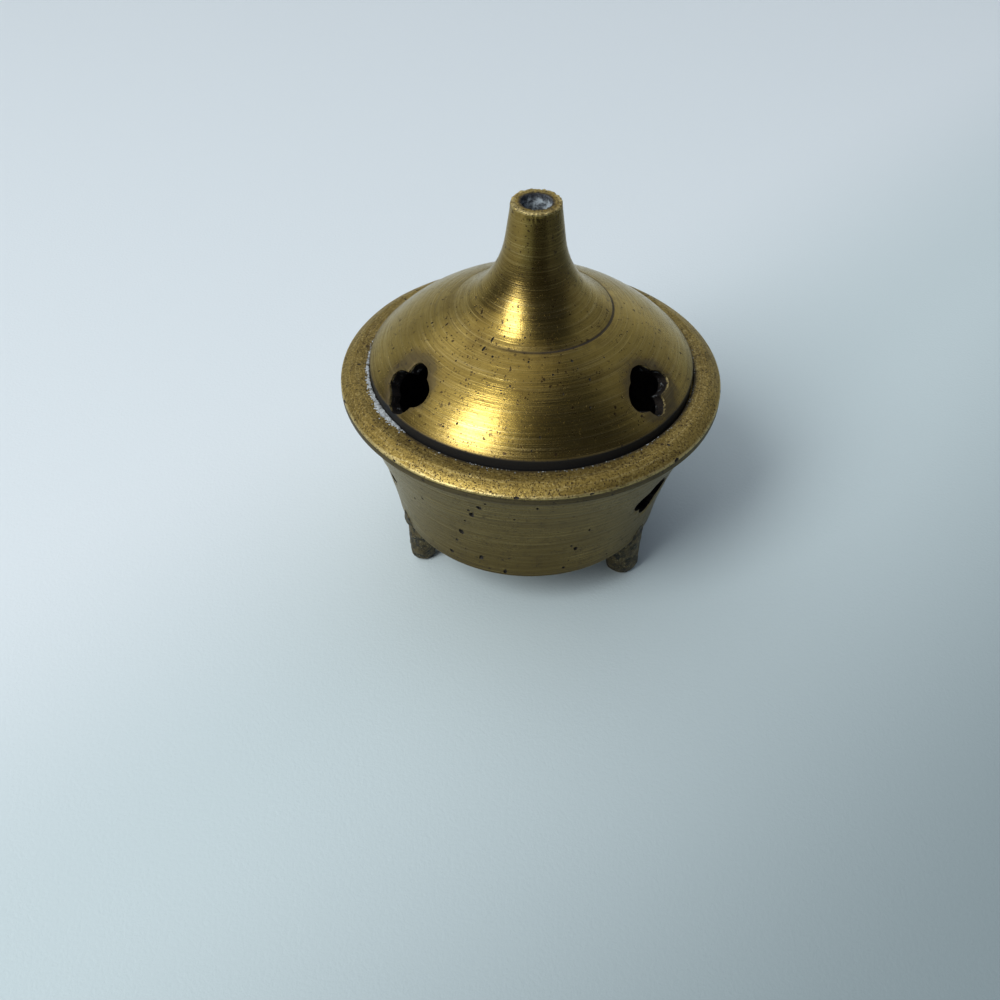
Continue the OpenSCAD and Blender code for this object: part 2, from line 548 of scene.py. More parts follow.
def on_ledge(azimuth, radius):
    """A place on the rim's ledge or rounding, with the directions out from the axis and round it."""
    out, along = around(azimuth)
    over = max(0.0, radius - LEDGE_R)
    round_r = ((RIM_R - LEDGE_R) ** 2 + ROUND_DROP ** 2) / (2 * ROUND_DROP)
    drop = round_r - math.sqrt(round_r ** 2 - over ** 2)
    return place_at(azimuth, radius, LEDGE - drop), out, along


def crowded(place, pits, room):
    """Whether a pit lies nearer to the place than room."""
    return min(np.linalg.norm(place - pit[0]) for pit in pits) < room


# Pits that are easy to see: angle, distance below the ledge or from the axis, size, length
WALL_PITS = (
    (-14.6, 7.4, 0.42, 1.5), (-17.8, 10.4, 0.45, 1.7), (-18.6, 9.2, 0.3, 1.2), (-24, 17.4, 0.5, 1.6),
    (-31, 25.0, 0.4, 1.3), (-17.3, 23.7, 0.38, 1.8), (-21, 13.2, 0.24, 1.2), (-12.2, 5.6, 0.22, 1.3),
    (-27, 20.6, 0.26, 1.3), (20, 20.5, 0.34, 1.7), (18, 19.3, 0.22, 1.3), (3.5, 5.6, 0.24, 1.8),
    (-7.5, 26.6, 0.32, 1.8), (16.5, 25.7, 0.26, 1.5), (-3.5, 9.7, 0.2, 1.2), (-38, 12.0, 0.24, 1.4),
    (23.5, 15.3, 0.22, 1.6))
DOME_PITS = (
    (-32, 13.9, 0.20, 2.6), (-30, 12.2, 0.18, 2.8), (-5.4, 11.0, 0.15, 1.3), (-22, 11.3, 0.14, 1.2),
    (-24, 14.6, 0.18, 1.4), (12, 16.5, 0.16, 1.2), (30, 18.2, 0.2, 1.2))

# How many pits there are in all
WALL_AND_RIM_PIT_COUNT = 64
DOME_PIT_COUNT = 60

# Dents in the rim's sharp corner: angle, size, length
RIM_DENTS = (
    (-2.5, 0.32, 1.8), (46.5, 0.35, 1.6), (-40, 0.22, 1.4), (18, 0.2, 2.2), (-71, 0.28, 1.5),
    (82, 0.24, 1.9), (121, 0.3, 1.6), (-140, 0.26, 2.0), (165, 0.28, 1.4))


def bowl_pits():
    """The blowholes that show on the bowl's front, then smaller ones all round."""
    draw = random.Random(21)
    share_on_rim = 0.45
    pits = []
    for k, (azimuth, below, size, length) in enumerate(WALL_PITS):
        place, up, along = on_wall(azimuth, below)
        tilt = math.radians(draw.uniform(-30, 30))
        lead = up * math.cos(tilt) + along * math.sin(tilt)
        side = along * math.cos(tilt) - up * math.sin(tilt)
        pits.append((place, lead, side, size, length, size * 1.2, k))
    while len(pits) < WALL_AND_RIM_PIT_COUNT:
        azimuth = draw.uniform(-180, 180)
        size = draw.uniform(0.1, 0.24)
        if draw.random() < share_on_rim:
            place, up, along = on_ledge(azimuth, draw.uniform(SEAT_R + 0.7, RIM_R - 0.4))
        else:
            place, up, along = on_wall(azimuth, draw.uniform(4.5, BOWL_H - 1))
        if not crowded(place, pits, room=1.6):
            pits.append((place, up, along, size, draw.uniform(0.9, 1.7), size, 100 + len(pits)))
    return pits


def rim_nicks():
    """Dents knocked into the rim's sharp corner."""
    nicks = []
    for k, (azimuth, size, length) in enumerate(RIM_DENTS):
        out, along = around(azimuth)
        place = place_at(azimuth, RIM_R + 0.05, LEDGE - ROUND_DROP + 0.02)
        nicks.append((place, along, out, size, length, size * 0.9, 40 + k))
    return nicks


def lid_pits():
    """The scratches and pits that show on the lid's front, then smaller pits away from the openings."""
    draw = random.Random(33)
    pits = []
    for k, (azimuth, radius, size, length) in enumerate(DOME_PITS):
        place, down, along = on_dome(azimuth, radius)
        pits.append((place, down, along, size, length, size * 1.1, k))
    while len(pits) < DOME_PIT_COUNT:
        azimuth = draw.uniform(-180, 180)
        radius = draw.uniform(13.8, 26.3)
        place, down, along = on_dome(azimuth, radius)
        near_vent = min(abs((azimuth - v + 180) % 360 - 180) for v in VENT_TURNS) < 15 and radius > 18
        if near_vent or crowded(place, pits, room=1.5):
            continue
        size = draw.uniform(0.09, 0.2)
        pits.append((place, down, along, size, draw.uniform(0.8, 1.5), size, 200 + len(pits)))
    return pits


# ---------------------------------------------------------------- the turned surfaces

def tool_marks(arc_length, azimuth, depth, seed):
    """Ridges that the turning tool left, which drift in height round the piece."""
    draw = random.Random(seed)
    out = 0.0
    for wavelength in (0.62, 0.81, 1.13, 1.7, 2.9):
        start = draw.uniform(0, 2 * math.pi)
        drift = draw.uniform(0, 2 * math.pi)
        swing = 0.65 + 0.35 * np.sin(np.radians(azimuth) + drift)
        out = out + swing * np.sin(2 * math.pi * arc_length / wavelength + start)
    return out * depth


def groove(distance, width, depth):
    """A fine groove's depth, as a negative height, at a distance from its middle."""
    return -depth * np.exp(-(distance / width) ** 2)


def window(value, low, high, soft):
    """1 between low and high, falling smoothly to 0 outside."""
    rise = np.clip((value - low) / soft + 0.5, 0, 1)
    fall = np.clip((high - value) / soft + 0.5, 0, 1)
    return rise * fall


def worn_lips(places, openings, depth, width):
    """How far the metal falls away over each opening's edge."""
    moved = np.zeros(places.shape[:-1])
    for opening in openings:
        beyond, along_axis = opening.beyond(places)
        near = np.abs(along_axis) < 3.0
        lip = -depth * np.exp(-(np.clip(beyond, 0, None) / width) ** 2)
        moved = np.where(near, np.minimum(moved, lip), moved)
    return moved


# Fine rings turned into the metal: radius or height, depth
LID_RINGS = ((16.2, 0.025), (17.9, 0.03), (20.6, 0.02), (24.6, 0.03), (11.2, 0.03), (9.3, 0.02))
LEDGE_RINGS = ((28.2, 0.03), (28.9, 0.035), (LEDGE_R - 0.1, 0.045), (30.4, 0.03))
WALL_RINGS = ((21.5, 0.04), (18.2, 0.03), (9.6, 0.03), (4.1, 0.04))


def lid_shape(openings):
    """How far each point of the lid is moved out of the metal by turning, filing and wear."""
    left = openings[0]

    def shape(points, arc_length, azimuth):
        """The movement at points of the outline, carried round to angles."""
        radius, height = points[..., 0], points[..., 1] - LEDGE
        radius, height, azimuth, arc_length = np.broadcast_arrays(radius, height, azimuth, arc_length)
        outer = np.where((radius > SMOKE_R + 0.7) & is_outer(radius, height), 1.0, 0.0)
        outside = window(height, -0.5, NECK_H - 0.3, 0.6) * outer
        moved = outside * tool_marks(arc_length, azimuth, 0.0022, 3)
        moved = moved + outside * 0.03 * uneven_grid(radius, azimuth, height, 9.0, 1)
        score = np.hypot(radius - SHOULDER[0], height - SHOULDER[1])
        swing = 0.55 + 0.45 * np.sin(np.radians(azimuth - 20))
        moved = moved + outside * groove(score, 0.15, 0.10) * swing
        for ring, depth in LID_RINGS:
            moved = moved + outside * groove(np.abs(radius - ring), 0.14, depth)
        places = place_at(azimuth, radius, height + LEDGE)
        moved = moved + outside * worn_lips(places, openings, 0.09, 0.26)
        beyond, _ = left.beyond(places)
        offset = places - left.centre
        upper = np.clip(offset @ left.upward * 0.25 - offset @ left.across * 0.2 + 0.2, 0, 1)
        close_by = np.linalg.norm(offset, axis=-1) < 9
        dish = np.exp(-(np.clip(beyond, 0, None) / 1.3) ** 2) * upper * close_by
        moved = moved - outside * 0.05 * dish
        mouth = window(height, NECK_H - 1.2, NECK_H + 1, 0.8)
        moved = moved + mouth * 0.13 * uneven_grid(radius, azimuth, height, 0.5, 4)
        return moved
    return shape


def is_outer(radius, height):
    """Whether a point of the lid's outline is on its outside."""
    inner = np.interp(height, [-1, HOLLOW_FOOT[1], FUNNEL_FOOT[1], SMOKE_FOOT, NECK_H],
                      [SEAT_IN_R, SEAT_IN_R, HOLLOW_TOP[0], SMOKE_R, SMOKE_R])
    outer = np.interp(height, [-1, LID_EDGE_H, SHOULDER[1], FLARE_TOP[1], NECK_H],
                      [LID_R, LID_R, SHOULDER[0], FLARE_TOP[0], MOUTH_R])
    return radius > (inner + outer) / 2


def lid_profile():
    """The lid's closed outline and the finish number of each of its points."""
    dome = arc(SHOULDER, (LID_R, LID_EDGE_H), DOME_BULGE, 0.1)[::-1]
    flare = arc(SHOULDER, FLARE_TOP, FLARE_HOLLOW, 0.1)
    inside = arc(HOLLOW_TOP, HOLLOW_FOOT, HOLLOW_BULGE, 0.2)
    stretches = [
        (line((SEAT_IN_R, -SEAT_DEPTH), (LID_R, -SEAT_DEPTH)), 0.5, BRASS),
        (line((LID_R, -SEAT_DEPTH), (LID_R, LID_EDGE_H)), 0.22, BRASS),
        (dome, 0.23, BRASS),
        (flare, 0.24, BRASS),
        (line(FLARE_TOP, (MOUTH_R, NECK_H)), 0.25, BRASS),
        (line((MOUTH_R, NECK_H), (SMOKE_R, NECK_H)), 0.2, BRASS),
        (line((SMOKE_R, NECK_H), (SMOKE_R, SMOKE_FOOT)), 0.45, ASH),
        (line((SMOKE_R, SMOKE_FOOT), FUNNEL_FOOT, HOLLOW_TOP), 0.9, SOOT),
        (inside, 0.7, SOOT),
        (line(HOLLOW_FOOT, (SEAT_IN_R, -SEAT_DEPTH)), 0.5, SOOT),
    ]
    points, finishes = profile(stretches, closed=True, soften=CORNER_WEAR)
    points[:, 1] += LEDGE
    return points, finishes


def make_lid(finishes):
    """The lid with its neck, smoke hole, openings and pits."""
    points, which = lid_profile()
    openings = lid_vents()
    turns = close_turns(VENT_TURNS, coarse=1.02, dense=0.5, half_width=13)
    lid = turned("lid_brass", points, which, closed=True, turns=turns, shape=lid_shape(openings),
                 materials=finishes)
    for k, opening in enumerate(openings):
        cut(lid, opening.cutter("vent_cutter", inner=5.5, outer=3.5, materials=finishes, seed=50 + k))
    cut(lid, pit_cutter("pit_cutter", lid_pits(), finishes))
    smooth_but_sharp(lid, EDGE_ANGLE)
    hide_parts("lid")
    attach(lid, "lid")


def bowl_shape(openings):
    """How far each point of the bowl is moved out of the metal by turning, filing and wear."""
    def shape(points, arc_length, azimuth):
        """The movement at points of the outline, carried round to angles."""
        radius, height = points[..., 0], points[..., 1] - UNDERSIDE
        radius, height, azimuth, arc_length = np.broadcast_arrays(radius, height, azimuth, arc_length)
        wall = np.interp(height, [0, BOWL_H], [FLOOR_R + 1.5, SEAT_IN_R + 1])
        outer = np.where(radius > wall, 1.0, 0.0)
        outside = outer * window(radius, SEAT_R + 0.4, 99, 0.5)
        wall_only = outer * window(height, 0.6, WALL_TOP - 0.2, 0.5)
        turned_part = np.maximum(outside, wall_only)
        moved = turned_part * tool_marks(arc_length, azimuth, 0.0026, 8)
        moved = moved + turned_part * 0.035 * uneven_grid(radius, azimuth, height, 8.0, 2)
        flat = window(height, BOWL_H - 0.4, BOWL_H + 1, 0.3)
        for ring, depth in LEDGE_RINGS:
            moved = moved + flat * groove(np.abs(radius - ring), 0.12, depth)
        for level, depth in WALL_RINGS:
            moved = moved + wall_only * groove(np.abs(height - level), 0.15, depth)
        places = place_at(azimuth, radius, height + UNDERSIDE)
        moved = moved + wall_only * worn_lips(places, openings, 0.18, 0.45)
        return moved
    return shape


def bowl_profile():
    """The bowl's outline from the middle of its underside to the middle of its floor, and the finishes."""
    wall = arc((BASE_R, 0), (RIM_R - OVERHANG, WALL_TOP), WALL_HOLLOW, 0.1)
    rounding = arc((LEDGE_R, BOWL_H), (RIM_R, WALL_TOP + EDGE_H), ROUND_BULGE, 0.05)[::-1]
    lean = math.atan2(SEAT_IN_R - FLOOR_R, BOWL_H - FLOOR_T)
    run = INSIDE_ROUND / math.tan(math.radians(45) + lean / 2)
    on_floor = (FLOOR_R - run, FLOOR_T)
    on_side = (FLOOR_R + run * math.sin(lean), FLOOR_T + run * math.cos(lean))
    stretches = [
        (line((0, 0), (BASE_R - 3, 0)), 3.0, BRASS),
        (line((BASE_R - 3, 0), (BASE_R, 0)), 0.6, BRASS),
        (wall, 0.27, BRASS),
        (line((RIM_R - OVERHANG, WALL_TOP), (RIM_R, WALL_TOP)), 0.3, BRASS),
        (line((RIM_R, WALL_TOP), (RIM_R, WALL_TOP + EDGE_H)), 0.24, BRASS),
        (rounding, 0.2, BRASS),
        (line((LEDGE_R, BOWL_H), (SEAT_R, BOWL_H)), 0.2, BRASS),
        (line((SEAT_R, BOWL_H), (SEAT_R, BOWL_H - SEAT_DEPTH)), 0.3, BRASS),
        (line((SEAT_R, BOWL_H - SEAT_DEPTH), (SEAT_IN_R, BOWL_H - SEAT_DEPTH)), 0.7, BRASS),
        (line((SEAT_IN_R, BOWL_H - SEAT_DEPTH), on_side), 1.0, SOOT),
        (arc(on_side, on_floor, INSIDE_BULGE, 0.3), 0.8, SOOT),
        (line(on_floor, (0, FLOOR_T)), 2.5, SOOT),
    ]
    points, finishes = profile(stretches, closed=False, soften=CORNER_WEAR)
    points[:, 1] += UNDERSIDE
    return points, finishes


def make_bowl(finishes):
    """The bowl with its rim, air holes, pits and dents."""
    points, which = bowl_profile()
    openings = bowl_air_holes()
    turns = close_turns(AIR_TURNS, coarse=0.9, dense=0.5, half_width=11)
    bowl = turned("bowl_brass", points, which, closed=False, turns=turns, shape=bowl_shape(openings),
                  materials=finishes)
    for k, opening in enumerate(openings):
        cut(bowl, opening.cutter("air_hole_cutter", inner=8.0, outer=3.0, materials=finishes, seed=70 + k))
    cut(bowl, pit_cutter("pit_cutter", bowl_pits() + rim_nicks(), finishes))
    smooth_but_sharp(bowl, EDGE_ANGLE)
    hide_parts("bowl")
    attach(bowl, "base")


# ---------------------------------------------------------------- feet

# Height, distance of the middle from the axis, radius, for a foot of the usual stoutness
FOOT_STATIONS = np.array((
    (0.0, 20.9, 1.5), (0.3, 20.9, 2.1), (0.9, 20.9, 2.55), (2.0, 20.9, 2.8), (4.6, 20.8, 3.0),
    (7.2, 20.7, 3.2), (9.2, 20.6, 3.35), (10.2, 20.8, 3.2), (11.2, 21.3, 2.75), (12.4, 22.0, 2.0),
    (13.2, 22.6, 1.35), (13.5, 22.7, 0.6)))
FOOT_STOUTNESS = {"foot_left": 0.84, "foot_right": 1.0, "foot_rear": 0.95}


def make_foot(name, turn, stout, seed, finish):
    """A rough-cast foot whose head runs up into the bowl's wall."""
    out, along = around(turn)
    levels, middles, sizes = FOOT_STATIONS.T
    rows, count = 54, 72
    heights = np.interp(np.linspace(0, len(levels) - 1, rows), range(len(levels)), levels)
    verts = [out * FOOT_CIRCLE_R]
    for z in heights:
        middle = np.interp(z, levels, middles)
        size = np.interp(z, levels, sizes) * (1 if z > 9 else stout)
        for j in range(count):
            a = 2 * math.pi * j / count
            x, y = math.cos(a) * size, math.sin(a) * size
            rough = 0.22 * uneven(x, y, z, 2.4, seed) + 0.11 * uneven(x, y, z, 0.9, seed + 1)
            rough += 0.05 * uneven(x, y, z, 0.4, seed + 2)
            grow = 1 + rough / max(size, 0.6) * min(1.0, z / 0.5)
            place = out * (middle + x * grow) + along * (y * grow)
            verts.append(place + np.array([0, 0, z]))
    verts.append(place_at(turn, middles[-1], heights[-1] + 0.1))
    faces = tube_faces(1, rows, count, (0, len(verts) - 1))
    foot = add_object(name + "_cast", verts, faces, [finish])
    smooth_but_sharp(foot, 60)
    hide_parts(name)
    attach(foot, "base")


# ---------------------------------------------------------------- ash crust in the lid's seam

def crumb(verts, faces, place, size, squash, seed):
    """Adds one lump of ash to lists of vertices and faces."""
    rings, count = 6, 9
    faces.extend(ball_faces(len(verts), rings, count))
    for ux, uy, uz, _ in ball_points(rings, count):
        swell = size * (1 + 0.5 * uneven(ux, uy, uz, 0.8, seed))
        verts.append(place + np.array([ux * swell, uy * swell, uz * swell * squash]))


def make_crust(name, finish, voxel, draw, lumps):
    """Fuses lumps of ash, each placed by draw, into one skin."""
    verts, faces = [], []
    for k in range(lumps):
        azimuth, radius, size, height = draw(k)
        crumb(verts, faces, place_at(azimuth, radius, height), size, squash=0.5, seed=300 + k)
    crust = add_object(name, verts, faces, [finish])
    remesh = crust.modifiers.new("fuse", "REMESH")
    remesh.mode = "VOXEL"
    remesh.voxel_size = voxel * MM
    apply_modifiers(crust)
    smooth_but_sharp(crust, 70)
    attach(crust, "base")


# Where the ash in the seam lies thick: angle and spread
ASH_DRIFTS = ((-57, 3), (-62, 4), (-67, 5), (-76, 6), (-88, 7), (-103, 8), (-118, 6), (-53, 4))


def make_seam_ash(finish):
    """A thick crust of ash at the left of the seam, and crumbs round the rest of it."""
    random_draw = random.Random(91)

    def heavy(k):
        """Angle, distance from the axis, size and height of one lump of the crust."""
        azimuth = random_draw.gauss(*ASH_DRIFTS[k % len(ASH_DRIFTS)])
        thick = math.exp(-((azimuth + 59) / 12) ** 2)
        radius = SEAT_R - 0.05 + abs(random_draw.gauss(0, 0.26 + 0.16 * thick))
        size = random_draw.uniform(0.06, 0.17) * (1 + 0.4 * thick)
        return azimuth, radius, size, LEDGE - 0.02

    def sparse(_):
        """The same for one crumb."""
        azimuth = random_draw.uniform(-34, 235)
        radius = SEAT_R + 0.1 + abs(random_draw.gauss(0, 0.22))
        return azimuth, radius, random_draw.uniform(0.04, 0.12), LEDGE

    make_crust("seam_ash", finish, voxel=0.07, draw=heavy, lumps=1100)
    make_crust("seam_crumbs", finish, voxel=0.05, draw=sparse, lumps=260)


# ---------------------------------------------------------------- shader sockets in plain sums

class Value:
    """A shader socket that can be used in sums."""

    def __init__(self, look, socket):
        self.look = look
        self.socket = socket

    def math(self, operation, *others):
        """One step of arithmetic on this value and the others."""
        return self.look.node("ShaderNodeMath", {"operation": operation}, dict(enumerate((self, *others))))

    def __add__(self, other):
        return self.math("ADD", other)

    __radd__ = __add__

    def __mul__(self, other):
        return self.math("MULTIPLY", other)

    __rmul__ = __mul__

    def __sub__(self, other):
        return self.math("SUBTRACT", other)

    def __rsub__(self, other):
        return (self * -1) + other

    def __truediv__(self, other):
        return self.math("DIVIDE", other)

    def __pow__(self, other):
        return self.math("POWER", other)

    def clip(self):
        """The value kept between 0 and 1."""
        return self.math("MINIMUM", 1).math("MAXIMUM", 0)

    def between(self, low, high):
        """0 at low, 1 at high and smooth in between; low may be the larger."""
        settings = {"interpolation_type": "SMOOTHSTEP"}
        if low <= high:
            return self.look.node("ShaderNodeMapRange", settings, {0: self, 1: low, 2: high})
        return 1 - self.look.node("ShaderNodeMapRange", settings, {0: self, 1: high, 2: low})


class Look:
    """The node tree of one material or of the world."""

    def __init__(self, owner):
        owner.use_nodes = True
        self.owner = owner
        self.tree = owner.node_tree
        self.tree.nodes.clear()

    def node(self, kind, settings=None, values=None, out=0):
        """Adds any node: its settings first, then the values or links of its sockets."""
        made = self.tree.nodes.new(kind)
        for key, value in (settings or {}).items():
            setattr(made, key, value)
        for key, value in (values or {}).items():
            socket = made.inputs[key]
            if isinstance(value, Value):
                self.tree.links.new(value.socket, socket)
            else:
                socket.default_value = value
        return Value(self, made.outputs[out])

    def mix(self, share, first, second):
        """The first colour, with that share of the second."""
        return self.node("ShaderNodeMix", {"data_type": "RGBA"}, {0: share, 6: first, 7: second}, 2)

    def vector(self, operation, first, second, out=0):
        """One step of vector arithmetic."""
        return self.node("ShaderNodeVectorMath", {"operation": operation}, {0: first, 1: second}, out)

    def scale(self, vector, factor):
        """The vector times a number."""
        return self.node("ShaderNodeVectorMath", {"operation": "SCALE"}, {0: vector, "Scale": factor})

    def split(self, vector):
        """The vector's x, y and z."""
        return [self.node("ShaderNodeSeparateXYZ", None, {0: vector}, k) for k in range(3)]

    def millimetres(self):
        """The place on the piece in millimetres, whole and as x, y, z."""
        place = self.node("ShaderNodeTexCoord", None, None, "Object")
        scaled = self.vector("MULTIPLY", place, (1 / MM, 1 / MM, 1 / MM))
        return scaled, self.split(scaled)

    def noise(self, place, scale, detail=2.0, roughness=0.5, out=0):
        """Smooth noise, about 0.5 on average. scale is how many lumps there are in a millimetre."""
        values = {"Vector": place, "Scale": scale, "Detail": detail, "Roughness": roughness}
        return self.node("ShaderNodeTexNoise", None, values, out)

    def ragged(self, place, scale, reach):
        """The place, shifted by up to about half of reach, so that round specks come out ragged."""
        shift = self.noise(place, scale, 2.0, 0.6, "Color")
        return self.vector("ADD", place, self.scale(shift, reach))

    def cells(self, place, scale):
        """Distance to the nearest speck and its random shade."""
        values = {"Vector": place, "Scale": scale}
        near = self.node("ShaderNodeTexVoronoi", None, values, "Distance")
        shade = self.node("ShaderNodeTexVoronoi", None, values, "Color")
        return near, self.split(shade)[0]

    def bump(self, height, distance, normal=None):
        """Relief whose height of 1 stands for the distance in millimetres, on top of any other relief."""
        values = {"Height": height, "Distance": distance * MM, "Strength": 1.0}
        if normal is not None:
            values["Normal"] = normal
        return self.node("ShaderNodeBump", None, values)

    def end(self, shader, kind="ShaderNodeOutputMaterial"):
        """Links the shader to the tree's output."""
        output = self.tree.nodes.new(kind)
        self.tree.links.new(shader.socket, output.inputs[0])

    def surface(self, tint, metallic, roughness, relief=None, more=None):
        """Ends a material with its one shader, and returns the material."""
        values = {"Base Color": tint, "Metallic": metallic, "Roughness": roughness, **(more or {})}
        if relief is not None:
            values["Normal"] = relief
        self.end(self.node("ShaderNodeBsdfPrincipled", None, values))
        return self.owner


def colour(red, green, blue):
    """A colour for a socket that also wants an alpha."""
    return (red, green, blue, 1.0)


def new_look(name):
    """A new material's node tree, and the place on the piece, whole and as x, y, z."""
    look = Look(bpy.data.materials.new(name))
    return look, *look.millimetres()


# ---------------------------------------------------------------- finishes

BRASS_CLEAN = colour(0.335, 0.232, 0.056)
BRASS_BRIGHT = colour(0.60, 0.47, 0.20)
BRASS_DULL = colour(0.22, 0.145, 0.032)
BRASS_BROWN = colour(0.085, 0.055, 0.017)
# The next colour is used for grime and also for painted shade.
TARNISH_AND_SHADE_DARK = colour(0.017, 0.019, 0.024)
PIT_BROWN = colour(0.040, 0.024, 0.014)
BRASS_AT_EDGE = colour(0.93, 0.88, 0.73)


def ring_noise(look, place, rings, fineness, detail, roughness):
    """Noise that runs in rings round the axis."""
    x, y, _ = look.split(place)
    stretched = look.node("ShaderNodeCombineXYZ", None, {0: x * 0.05, 1: y * 0.05, 2: rings * fineness})
    return look.noise(stretched, 1.0, detail, roughness)


def specks(look, place, scale, size, share):
    """1 in scattered dark specks of several sizes. share is how many of the cells hold one."""
    near, shade = look.cells(place, scale)
    width = size * (1.3 - shade * (0.8 / share))
    return near.between(1.0, 0.0).math("GREATER_THAN", 1 - width) * shade.math("LESS_THAN", share)


def turned_brass(name, slope, marks):
    """Lathe-turned old brass.

    slope is -1 on the lid and 1 on the bowl, so that its rings follow the profile."""
    look, place, (x, y, z) = new_look(name)
    radius = (x * x + y * y) ** 0.5
    wobble = look.noise(place, 0.12, 2.0)
    rings = z + radius * slope + wobble * 0.5
    coarse = ring_noise(look, place, rings, 0.9, 3.0, 0.6)
    lines = ring_noise(look, place, rings, 2.6, 3.0, 0.65)
    hair = ring_noise(look, place, rings, 8.0, 2.0, 0.7)
    clouds = look.noise(place, 0.10, 4.0, 0.6)
    mottle = look.noise(place, 0.55, 4.0, 0.65)
    grain = look.noise(place, 5.0, 3.0, 0.7)
    lumps = look.noise(place, 2.6, 3.0, 0.65)
    # The marks bring painted shade, painted dark reflections and a painted highlight, along with real
    # tarnishing, grime and wear.
    tarnish_and_painted_shade, dirt_and_painted_shade, peppered, worn, polish_and_painted_highlight = marks(look, place, radius, z, mottle)

    dull = clouds.between(0.40, 0.66) * 0.45 + mottle.between(0.42, 0.72) * 0.35
    dull = (dull + lines.between(0.50, 0.70) * 0.30).clip()
    scratched = (hair.between(0.50, 0.66) * 0.30 + lines.between(0.55, 0.70) * 0.35).clip()
    ragged = look.ragged(place, 2.4, 0.55)
    dots = specks(look, ragged, 0.9, 0.13, 0.22)
    dots = dots.math("MAXIMUM", specks(look, ragged, 2.5, 0.25, 0.34))
    dots = dots * (mottle.between(0.38, 0.58) * 0.62 + 0.26)
    dots = dots.math("MAXIMUM", specks(look, ragged, 3.6, 0.32, 0.36) * peppered)

    tint = BRASS_CLEAN
    for share, layer in (
            (dull, BRASS_DULL),
            (hair.between(0.56, 0.70) * 0.55, BRASS_BRIGHT),
            (hair.between(0.44, 0.32) * 0.40, BRASS_BROWN),
            (lines.between(0.57, 0.72) * 0.40, BRASS_BRIGHT),
            (coarse.between(0.55, 0.72) * 0.30, BRASS_BROWN),
            (tarnish_and_painted_shade * (1 - scratched), BRASS_BROWN),
            (worn * lumps.between(0.50, 0.36) * 0.6, BRASS_BROWN),
            (worn * lumps.between(0.55, 0.68) * 0.5, BRASS_BRIGHT),
            (polish_and_painted_highlight, BRASS_BRIGHT),
            (dots, PIT_BROWN),
            (dirt_and_painted_shade, TARNISH_AND_SHADE_DARK)):
        tint = look.mix(share, tint, layer)

    roughness = (0.155 + dull * 0.07 + tarnish_and_painted_shade * 0.14 + dots * 0.12 + dirt_and_painted_shade * 0.4 + worn * 0.26
                 + (grain - 0.5) * 0.10 + (lines - 0.5) * 0.14).clip()
    metallic = (0.95 - tarnish_and_painted_shade * 0.10 - dirt_and_painted_shade * 0.35 - worn * 0.12).clip()
    relief = look.bump(hair * 0.25 + lines + coarse * 0.6, 0.034)
    skin = grain * (0.4 + worn * 1.0) + mottle + lumps * worn * 2.6 - dots * 0.7
    relief = look.bump(skin, 0.022, relief)
    return look.surface(tint, metallic, roughness, relief,
                        {"Specular Tint": BRASS_AT_EDGE, "Anisotropic": 0.3})


def lid_marks(look, place, radius, z, mottle):
    """Tarnish, grime, painted shade, fine pits, wear and polished spots on the lid.

    It is smoke-stained round its openings and on its neck. Shade is painted on its upright edge, on the
    dome just above that, and on the neck's front right."""
    edge_top = LEDGE + LID_EDGE_H
    # Painted shade: the lid's upright edge and the groove under the dome are darkened as if in shadow.
    edge = z.between(edge_top + 0.35, edge_top - 0.15)
    # Painted shade: a soft dark band on the dome just above its edge.
    above_edge = z.between(LEDGE + 3.6, LEDGE + 1.5) * 0.45
    x, y, _ = look.split(place)
    away = (radius - SHOULDER[0]).math("ABSOLUTE") + (z - (LEDGE + SHOULDER[1])).math("ABSOLUTE")
    score = away.between(0.42, 0.14) * (x * 0.04 - y * 0.03 + 0.2).between(0.0, 0.9)
    halo = away.between(3.4, 0.6) * mottle.between(0.35, 0.6) * 0.30
    mouth = z.between(MOUTH - 0.9, MOUTH - 0.1) * 0.40
    # A smoke stain on the neck, with painted shade: darker on the front right, where the neck shows a dark
    # reflection.
    shade_side = (x * 0.72 - y * 0.60) / (radius + 0.1)
    smoke_and_painted_shade = z.between(LEDGE + 13.0, LEDGE + 21.0) * (shade_side.between(0.45, 0.9) * 0.40 + 0.48)
    lip = radius.between(SMOKE_R + 0.6, SMOKE_R + 0.15) * z.between(MOUTH - 1.0, MOUTH - 0.2)
    smoke = 0.0
    smoke_r = VENT_R - 0.4
    for turn in VENT_TURNS:
        centre = place_at(turn * 1.05, smoke_r, LEDGE + dome_height(smoke_r))
        away = look.vector("DISTANCE", place, tuple(centre), "Value")
        smoke = (away + (mottle - 0.5) * 5.0).between(7.2, 4.2) + smoke
    tarnish_and_painted_shade = (above_edge + halo + score * 0.9 + smoke_and_painted_shade + smoke * (mottle * 0.9) - mouth * 1.2).clip()
    dirt_and_painted_shade = (edge * 0.95 + score * 0.6 + lip * 0.8 + smoke * smoke * 0.50).clip()
    peppered = (mouth * 2.0 + 0.12).clip()
    polish_and_painted_highlight = z.between(MOUTH - 0.45, MOUTH - 0.2) * radius.between(MOUTH_R - 0.7, MOUTH_R - 0.3)
    polish_and_painted_highlight = polish_and_painted_highlight * mottle.between(0.40, 0.56) * 0.8
    return tarnish_and_painted_shade, dirt_and_painted_shade, peppered, mouth * 2.5, polish_and_painted_highlight


